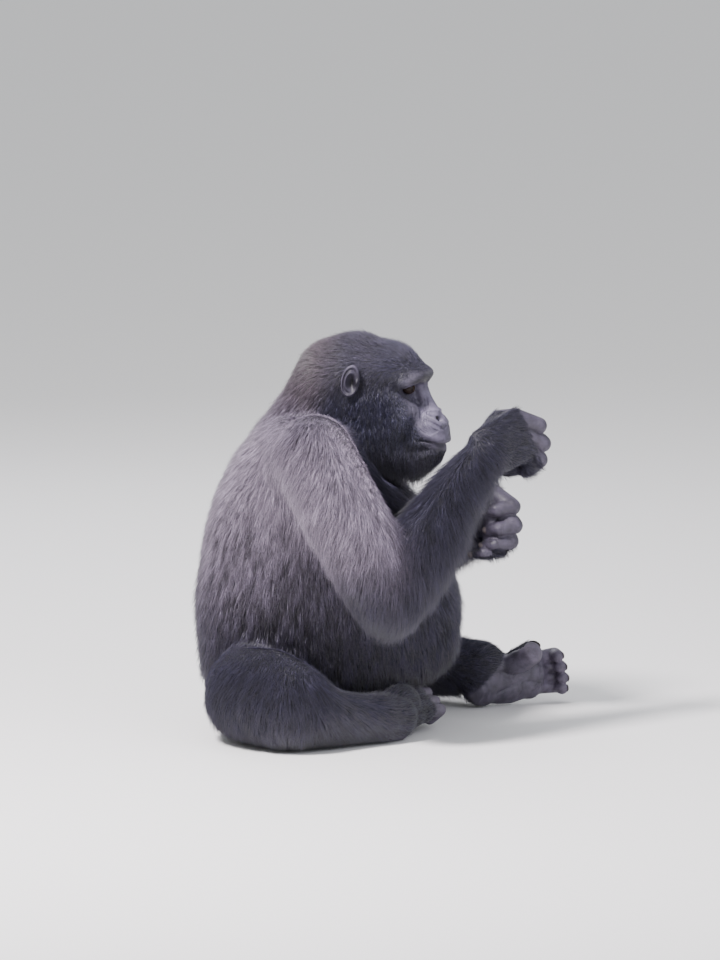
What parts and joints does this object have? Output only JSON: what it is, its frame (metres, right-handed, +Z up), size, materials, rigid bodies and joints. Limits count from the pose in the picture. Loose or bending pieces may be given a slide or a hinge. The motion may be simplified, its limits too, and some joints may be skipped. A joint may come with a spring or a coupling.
{
  "type": "gorilla",
  "caption": "Seated mountain gorilla, life size, still: one hand raised near the face, the other held low, legs folded and one sole turned out.",
  "frame": {"origin": "on the floor, under the middle of the model's box", "axes": "+X the way the body faces, +Y the animal's left, +Z up"},
  "size_m": [0.7588, 0.847, 0.7971],
  "materials": {
    "coat_black": "coarse black fur with a faint blue cast",
    "coat_back": "shorter fur, greyer and slightly brown on the back, shoulders and upper arms",
    "bare_skin": "bare creased skin, dark grey",
    "eye": "wet dark brown"
  },
  "bodies": {
    "root": {"head": "coat_black", "neck": "coat_black", "chest": "coat_back", "belly": "coat_black", "ear_left": "bare_skin", "ear_right": "bare_skin", "eye_left": "eye", "eye_right": "eye", "upper_arm_left": "coat_back", "upper_arm_right": "coat_back", "forearm_left": "coat_black", "forearm_right": "coat_black", "hand_left": "bare_skin", "hand_right": "bare_skin", "thigh_left": "coat_black", "thigh_right": "coat_black", "shank_left": "coat_black", "shank_right": "coat_black", "foot_left": "bare_skin", "foot_right": "bare_skin"}
  },
  "joints": []
}
